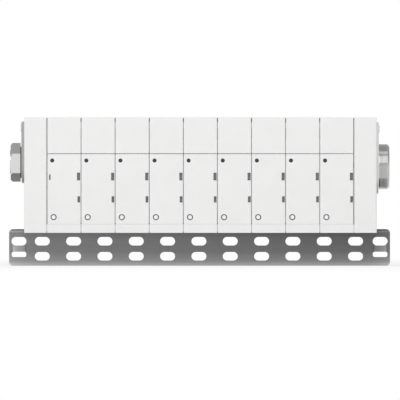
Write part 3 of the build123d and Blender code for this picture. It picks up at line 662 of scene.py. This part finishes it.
shape = bmesh.new()
for x, z in port_places:
    count = len(shape.verts)
    shape.from_mesh(thread_mesh)
    shape.verts.ensure_lookup_table()
    bmesh.ops.translate(shape, vec=(x, 0.0, z), verts=shape.verts[count:])
piece("port_threads", shape, housing_plastic)

first_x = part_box("supply_fitting")[0].x + FITTING_MOUTH
shape = bmesh.new()
add_thread(
    shape,
    start=Vector((first_x, fitting_axis.y, fitting_axis.z)),
    along=TO_THE_RIGHT,
    root=FITTING_BORE + THREAD_ROOT,
    crest=FITTING_BORE - THREAD_DEPTH,
    pitch=PORT_PITCH,
    length=FITTING_THREAD,
    sides=32,
)
piece("supply_thread", shape, fitting_nickel)

# %% [markdown]
# ## Contacts of the connector
# The round connector is a plug with nineteen contact pins, one in the middle and rings of six and
# twelve. A pin starts as a circle, which is extruded, and its tip is drawn in by a second extrusion
# that is scaled down. The pin could be a bevelled cylinder, but a tip of one more ring needs fewer
# faces, and there are nineteen of them.

# %% Contact pins
PIN_RADIUS = 0.8 * MM
PIN_LENGTH = 4.6 * MM
PIN_TIP = 0.8 * MM
PIN_TIP_SHARE = 0.45
PIN_SIDES = 12
PIN_SUNK = 0.5 * MM
PIN_RINGS = ((1, 0.0), (6, 4.9 * MM), (12, 9.7 * MM))


def add_pin(shape, foot):
    """One round contact standing along X, its tip drawn in."""
    turned = Matrix.Translation(foot) @ Matrix.Rotation(math.pi / 2, 4, "Y")
    ring = bmesh.ops.create_circle(
        shape, segments=PIN_SIDES, radius=PIN_RADIUS, cap_ends=True, matrix=turned
    )["verts"]
    face = ring[0].link_faces[0]
    for reach, share in ((PIN_LENGTH - PIN_TIP, 1.0), (PIN_TIP, PIN_TIP_SHARE)):
        face = bmesh.ops.extrude_discrete_faces(shape, faces=[face])["faces"][0]
        to_centre = Matrix.Translation(-face.calc_center_median())
        bmesh.ops.scale(shape, vec=(1.0, share, share), space=to_centre, verts=face.verts)
        bmesh.ops.translate(shape, vec=(reach, 0.0, 0.0), verts=face.verts)


insert_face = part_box("connector_insert")[1].x
pattern_centre = Vector((insert_face - PIN_SUNK, shell_axis.y, shell_axis.z))
shape = bmesh.new()
for count, radius in PIN_RINGS:
    for n in range(count):
        angle = math.tau * n / count
        aside = Vector((0.0, radius * math.sin(angle), radius * math.cos(angle)))
        add_pin(shape, pattern_centre + aside)
piece("contact_pins", shape, contact_gold)

# %% [markdown]
# ## Painted shade round the override buttons
# Each override button stands in a narrow gap of the cover's hole, and the dark ring there is
# painted shade: a flat black ring lines the cover's hole where the gap holds shade. A small
# rectangle is spun once round the button's axis, which gives a true ring with inner and outer
# walls; a torus would be round where this ring is flat. A spin leaves its faces in another order
# from run to run, so they are sorted at the end.

# %% Dark rings of painted shade round the buttons
GAP_RING_OUTER = 2.39 * MM
GAP_RING_INNER = 1.72 * MM
GAP_RING_FRONT = 0.25 * MM
GAP_RING_BACK = 1.6 * MM
GAP_RING_SIDES = 40


def sort_faces(shape):
    """Put faces in the order of their lowest, then of their highest corner."""
    shape.verts.index_update()
    count = len(shape.verts)

    def place_in_order(face):
        numbers = [vert.index for vert in face.verts]
        return min(numbers) * count + max(numbers)

    shape.faces.sort(key=place_in_order)


shape = bmesh.new()
for n in range(1, STATIONS + 1):
    axis = middle(f"override_button_{n}")
    corners = [
        (radius, FRONT + depth)
        for radius, depth in (
            (GAP_RING_INNER, GAP_RING_FRONT),
            (GAP_RING_OUTER, GAP_RING_FRONT),
            (GAP_RING_OUTER, GAP_RING_BACK),
            (GAP_RING_INNER, GAP_RING_BACK),
        )
    ]
    verts = [shape.verts.new((axis.x + radius, y, axis.z)) for radius, y in corners]
    edges = [shape.edges.new((verts[i], verts[(i + 1) % 4])) for i in range(4)]
    bmesh.ops.spin(
        shape,
        geom=verts + edges,
        cent=(axis.x, 0.0, axis.z),
        axis=(0.0, 1.0, 0.0),
        angle=math.tau,
        steps=GAP_RING_SIDES,
        use_merge=True,
    )
sort_faces(shape)
# The black rubber ring in each button's gap is painted shade.
piece("button_gap_shade_rings", shape, seal_rubber)

# %% [markdown]
# ## Catches and painted shade in the seams
# Close up, every seam has a small dark mark at its top and one just above the channel, and the
# seams next to the end blocks have a few more. The marks at the top and above the channel are
# painted shade: small notches hold shade where the seams cross, and dark blocks stand in for it.
# The few more next to the end blocks are taken as catches that tie a cap or cover to its neighbour.
# Each mark is a little block with rounded corners, sunk in the groove between two rounded edges, so
# that only its face shows. A cube with a bevel is enough here, because nothing else of a block can
# be seen.

# %% Seam catches and painted notch shade
SEAM_BLOCK_DEPTH = 1.4 * MM
SEAM_BLOCK_SINK = 0.35 * MM
SEAM_BLOCK_CORNER = 0.2 * MM
# Place along X, height of the middle, width and height of each block.
CATCHES_AND_NOTCH_SHADE = [
    (seam_xs[0], 73.8 * MM, 0.9 * MM, 1.8 * MM),
    (seam_xs[0], 62.6 * MM, 0.9 * MM, 2.2 * MM),
    (seam_xs[-1], 80.1 * MM, 0.8 * MM, 4.2 * MM),
]
# Painted shade: dark blocks where the seams cross, at the top and just above the channel.
CATCHES_AND_NOTCH_SHADE += [(x, 116.2 * MM, 0.6 * MM, 3.4 * MM) for x in seam_xs]
CATCHES_AND_NOTCH_SHADE += [(x, 33.4 * MM, 0.7 * MM, 0.9 * MM) for x in seam_xs]

shape = bmesh.new()
for x, z, width, height in CATCHES_AND_NOTCH_SHADE:
    place = Matrix.Translation((x, FRONT + SEAM_BLOCK_SINK + SEAM_BLOCK_DEPTH / 2, z))
    size = Matrix.Diagonal((width, SEAM_BLOCK_DEPTH, height, 1.0))
    made = bmesh.ops.create_cube(shape, size=1.0, matrix=place @ size)["verts"]
    edges = list(dict.fromkeys(edge for vert in made for edge in vert.link_edges))
    bmesh.ops.bevel(
        shape,
        geom=edges,
        offset=SEAM_BLOCK_CORNER,
        affect="EDGES",
        segments=2,
        profile=0.5,
        material=-1,
    )
piece("seam_catches_and_notch_shade", shape, pilot_plastic)

# %% [markdown]
# ## Gasket edges and painted shade in the seams
# Where two slices meet, their broken corners leave a small groove in the foot strip, and the edge
# of a gasket shows at its bottom as a dark line. The grooves next to the end blocks are wider. The
# long dark lines in them, and the dots at the bottom of every foot groove, are painted shade that
# stands in for the shade in the grooves. Each of these is a wedge: a block whose back face is
# pinched together, so that it lies between the two slopes without cutting them.

# %% Gasket edges and painted seam shade
FOOT_GROOVE = 0.5 * MM
FOOT_LINE = 0.2 * MM
FOOT_SHADE_DOT = 0.5 * MM
FOOT_DEPTH = 0.45  # depth of a foot wedge, as a share of its width
FOOT_PINCH = 0.1
END_GROOVE = 0.42 * MM
END_SHADE_LINE = 0.5 * MM
END_SHADE_DOT = 0.7 * MM
END_DEPTH = 0.9 * MM
END_PINCH = 0.2
DOT_HEIGHT = 1.0 * MM
TOP_CLEAR = 1.2 * MM
foot_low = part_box("manifold_slice_1")[0].z
cap_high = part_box("terminal_caps")[1].z


def add_seam_wedge(shape, x, low, high, width, sink, depth, pinch):
    """A wedge in an upright groove. Its face lies sink behind the front, its back is pinched."""
    place = Matrix.Translation((x, FRONT + sink + depth / 2, (low + high) / 2))
    size = Matrix.Diagonal((width, depth, high - low, 1.0))
    made = bmesh.ops.create_cube(shape, size=1.0, matrix=place @ size)["verts"]
    back = [vert for vert in made if vert.co.y > FRONT + sink + depth / 2]
    to_centre = Matrix.Translation((-x, 0.0, 0.0))
    bmesh.ops.scale(shape, vec=(pinch, 1.0, 1.0), space=to_centre, verts=back)


shape = bmesh.new()
dot_top = foot_low + DOT_HEIGHT
# In the foot between slices the lines are gasket edges; the dots at the foot's bottom are painted
# shade.
for x in seam_xs[1:-1]:
    for high, width in ((cover_low.z, FOOT_LINE), (dot_top, FOOT_SHADE_DOT)):
        sink = FOOT_GROOVE - width / 2
        add_seam_wedge(shape, x, foot_low, high, width, sink, width * FOOT_DEPTH, FOOT_PINCH)
# Painted shade: long dark lines in the seams next to the end blocks, and a dot at the foot's
# bottom.
for x in (seam_xs[0], seam_xs[-1]):
    for low, high, width in (
        (cover_low.z, cap_high - TOP_CLEAR, END_SHADE_LINE),
        (foot_low, dot_top, END_SHADE_DOT),
    ):
        add_seam_wedge(shape, x, low, high, width, END_GROOVE, END_DEPTH, END_PINCH)
piece("gasket_edges_and_seam_shade", shape, seal_rubber)

# %% [markdown]
# ## Screws of the port plates
# Each port plate is held at its top corners by two low-head screws. The head is a disc whose outer
# edge is bevelled. Its face is inset, the inset ring is pulled into a hexagon and pushed in, which
# makes the socket for the key. A ring of 24 points fits a hexagon exactly, since every fourth point
# is a corner. Cutting the socket with a boolean would work too, but it leaves long thin faces about
# the hole. Heads bevelled one after another in one mesh come out in another order from run to run,
# so each head is made in a mesh of its own and then added to the others.

# %% Plate screws
SCREW_RADIUS = 2.75 * MM
SCREW_PROUD = 0.55 * MM
SCREW_FOOT = 0.25 * MM
SCREW_EDGE = 0.2 * MM
SOCKET_HALF = 1.25 * MM
SOCKET_RING = 1.2 * SOCKET_HALF
SOCKET_DEPTH = 0.4 * MM
SCREW_HEIGHT = 109.5 * MM
SCREW_IN = 4.8 * MM
HEAD_SIDES = 24
SAME_PLACE = 0.01 * MM


def add_screw_head(shape, foot, out):
    """A low round head standing along X at its foot, with a hexagon socket. out is -1 or 1."""
    turned = Matrix.Translation(foot) @ Matrix.Rotation(out * math.pi / 2, 4, "Y")
    disc = bmesh.ops.create_circle(
        shape, segments=HEAD_SIDES, radius=SCREW_RADIUS, cap_ends=True, matrix=turned
    )["verts"]
    top = bmesh.ops.extrude_discrete_faces(shape, faces=[disc[0].link_faces[0]])["faces"][0]
    rise = Vector((out * (SCREW_FOOT + SCREW_PROUD), 0.0, 0.0))
    bmesh.ops.translate(shape, vec=rise, verts=top.verts)
    bmesh.ops.inset_individual(shape, faces=[top], thickness=SCREW_RADIUS - SOCKET_RING)
    centre = top.calc_center_median()
    for vert in top.verts:
        aside = vert.co - centre
        turn = math.atan2(aside.z, aside.y) % (math.pi / 3) - math.pi / 6
        vert.co = centre + aside.normalized() * SOCKET_HALF / math.cos(turn)
    socket = bmesh.ops.extrude_discrete_faces(shape, faces=[top])["faces"][0]
    bmesh.ops.translate(shape, vec=(-out * SOCKET_DEPTH, 0.0, 0.0), verts=socket.verts)
    middle_of_top = foot + rise
    rim = []
    for edge in shape.edges:
        radii = [(vert.co - middle_of_top).length for vert in edge.verts]
        if all(abs(radius - SCREW_RADIUS) < SAME_PLACE for radius in radii):
            rim.append(edge)
    bmesh.ops.bevel(
        shape,
        geom=rim,
        offset=SCREW_EDGE,
        affect="EDGES",
        segments=2,
        profile=0.5,
        material=-1,
    )


head_mesh = bpy.data.meshes.new("one_screw_head")
shape = bmesh.new()
for plate, side, out in (("port_plate_left", 0, -1), ("port_plate_right", 1, 1)):
    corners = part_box(plate)
    face = corners[side].x
    for y in (corners[0].y + SCREW_IN, corners[1].y - SCREW_IN):
        head = bmesh.new()
        add_screw_head(head, Vector((face - out * SCREW_FOOT, y, SCREW_HEIGHT)), out)
        head.to_mesh(head_mesh)
        head.free()
        shape.from_mesh(head_mesh)
piece("plate_screws", shape, zinc)

# %% [markdown]
# ## Floor and backdrop
# The object stands on white paper that runs out of the picture, so only a faint shadow tells that
# there is a floor. Lit paper is a pale grey, and the further it is from the lamps, the greyer. So
# where the camera, a reflection or a ray through clear plastic meets it, plain white is mixed in:
# six tenths close to the object, where the shadow has to stay, and all of it a little more than a
# metre away. Diffuse rays still find real paper, so the light that it throws up on the object stays
# true.

# %% The floor
FLOOR_REACH = 4.0
WHITE_NEAR = 0.6
WHITE_PER_METRE = 0.35
PAPER_LOW = (0.9, 0.9, 0.9)
PAPER_HIGH = (0.92, 0.92, 0.92)
WHITE = (1.0, 1.0, 1.0, 1.0)

paper = Finish("studio_floor", {"Roughness": 0.9})
fibres = paper.noise(per_metre=6.0, detail=1.0)
paper.feed("Base Color", paper.tint(fibres, PAPER_LOW, PAPER_HIGH))
x, y = paper.axes()[:2]
whiteness = WHITE_NEAR + WHITE_PER_METRE * (x * x + y * y) ** 0.5
rays = paper.node("ShaderNodeLightPath").outputs
camera_ray, mirror_ray, clear_ray = [
    Term(paper, rays[kind]) for kind in ("Is Camera Ray", "Is Glossy Ray", "Is Transmission Ray")
]
plain = paper.node("ShaderNodeEmission", None, {"Color": WHITE, "Strength": 1.0})
share = whiteness * (camera_ray + mirror_ray + clear_ray)
lit = paper.shader
mixed = paper.node("ShaderNodeMixShader", None, {0: share, 1: lit.outputs[0], 2: plain.outputs[0]})
paper.connect(mixed.outputs[0], paper.tree.nodes["Material Output"].inputs["Surface"])

shape = bmesh.new()
bmesh.ops.create_grid(shape, x_segments=8, y_segments=8, size=FLOOR_REACH)
floor = object_of("studio_floor", shape, paper.material)
floor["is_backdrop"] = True
print("floor:", round(2 * FLOOR_REACH, 1), "m square")

# %% [markdown]
# ## A grey card
# Polished metal shows only what it mirrors, and on white paper its lower faces would melt into the
# ground. Photographers lay a strip of grey card just behind the object for that: the hexagon's
# lowest face and the underside of the round connector mirror it and get a darker band. It lies low
# behind the channel. Only mirroring rays find it here, so it neither shows in the picture nor takes
# light from the paper. The metal could be painted darker below instead, but then the band would
# stay where it is when the object is turned.

# %% The card behind the channel
CARD_LENGTH = 400.0 * MM
CARD_FRONT = 33.0 * MM
CARD_BACK = 70.0 * MM
CARD_LIFT = 0.5 * MM
CARD_LOW = (0.26, 0.26, 0.26)
CARD_HIGH = (0.32, 0.32, 0.32)

card = Finish("grey_card", {"Roughness": 0.8})
felt = card.noise(per_metre=900.0, detail=1.0)
card.feed("Base Color", card.tint(felt, CARD_LOW, CARD_HIGH))
size = (CARD_LENGTH, CARD_BACK - CARD_FRONT, 1.0)
place = (0.0, (CARD_FRONT + CARD_BACK) / 2, CARD_LIFT)
shape = bmesh.new()
bmesh.ops.create_grid(shape, x_segments=1, y_segments=1, size=0.5)
bmesh.ops.scale(shape, verts=shape.verts, vec=size)
bmesh.ops.translate(shape, verts=shape.verts, vec=place)
grey_card = object_of("grey_card", shape, card.material)
grey_card.visible_camera = False
grey_card.visible_diffuse = False
grey_card.visible_shadow = False
grey_card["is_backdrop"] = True
print("card:", round((CARD_BACK - CARD_FRONT) / MM), "mm deep")

# %% [markdown]
# ## Soft light
# A white product photographed on white needs light from all round, and its metal needs something
# darker to mirror. So the room itself glows: white at the horizon, as the paper is, and half as
# bright higher up. A backdrop of real walls could do this, but a ramp on the height of a ray's
# direction takes one node. The camera sees plain white wherever it looks past the floor, and so
# does a ray through clear plastic. Mirroring rays meet the glow as it is, because plain white all
# round would leave the metal without a shape.

# %% The room's glow
ROOM_GLOW = ((0.0, 1.0), (0.1, 0.9), (0.3, 0.55), (0.8, 0.5), (1.0, 0.42))

room = bpy.data.worlds.new("studio_room")
bpy.context.scene.world = room
room.use_nodes = True
sky = Nodes(room.node_tree)
sky.tree.nodes.clear()
direction = sky.node("ShaderNodeTexCoord")
height = sky.node("ShaderNodeSeparateXYZ", None, {0: direction.outputs["Generated"]}).outputs["Z"]
glow = sky.node("ShaderNodeValToRGB", {"stops": ROOM_GLOW}, {0: height})
rays = sky.node("ShaderNodeLightPath").outputs
direct = sky.math("MAXIMUM", rays["Is Camera Ray"], rays["Is Transmission Ray"])
dim = sky.node("ShaderNodeBackground", None, {"Color": glow.outputs[0]})
white = sky.node("ShaderNodeBackground", None, {"Color": WHITE})
mixed = sky.node("ShaderNodeMixShader", None, {0: direct, 1: dim.outputs[0], 2: white.outputs[0]})
sky.node("ShaderNodeOutputWorld", None, {0: mixed.outputs[0]})
print("room nodes:", len(sky.tree.nodes))

# %% [markdown]
# ## Two soft boxes
# A lamp is aimed by turning its own -Z axis to the object. The large one stands up in front and a
# little to the left and lights the covers. A small strong lamp would give them the same light, but
# round metal would mirror it as a burnt stripe. The long narrow one hangs overhead and adds only a
# second, thin stripe on the round metal.

# %% Lamps
AIM = Vector((0.0, 0.0, 60.0 * MM))


def soft_box(name, place, width, height, power):
    """A rectangular lamp turned to the object."""
    lamp = bpy.data.lights.new(name, "AREA")
    lamp.shape = "RECTANGLE"
    lamp.size = width
    lamp.size_y = height
    lamp.energy = power
    holder = bpy.data.objects.new(name, lamp)
    holder.location = place
    holder.rotation_euler = (AIM - Vector(place)).to_track_quat("-Z", "Y").to_euler()
    bpy.context.scene.collection.objects.link(holder)
    print(name, "with", power, "W")


soft_box("front_box", place=(-0.35, -1.3, 1.2), width=2.8, height=1.3, power=16.0)
soft_box("top_box", place=(0.0, -0.3, 1.35), width=1.8, height=0.35, power=2.2)

# %% [markdown]
# ## The camera
# The picture was taken level and square from the front, so far away that the fittings at half depth
# keep the same scale as the fronts, and a strip of each port plate still shows beside its end
# block. A very long lens at ten metres gives that flat view and stays a perspective camera, so it
# can be moved round the object like any other.

# %% The camera
CAMERA_HEIGHT = 52.4 * MM
CAMERA_ASIDE = 0.36 * MM
CAMERA_AWAY = 10.0
FRAME_WIDTH = 319.0 * MM

lens = bpy.data.cameras.new("front_camera")
lens.sensor_width = 36.0
lens.lens = lens.sensor_width * CAMERA_AWAY / FRAME_WIDTH
lens.clip_start = 0.1
lens.clip_end = 100.0
camera = bpy.data.objects.new("front_camera", lens)
camera.location = (CAMERA_ASIDE, FRONT - CAMERA_AWAY, CAMERA_HEIGHT)
camera.rotation_euler = (math.pi / 2, 0.0, 0.0)
bpy.context.scene.collection.objects.link(camera)
bpy.context.scene.camera = camera
bpy.context.scene.view_settings.view_transform = "Standard"
print("lens:", round(lens.lens, 1), "mm")

# %% [markdown] ## Last look The dressed object must not be larger than the solids that it stands for, so its box is printed here, to read against the solids' box printed at the start.

# %% Sizes and finish
low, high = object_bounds()
print("visual box:", [round(v, 4) for v in high - low], "m")
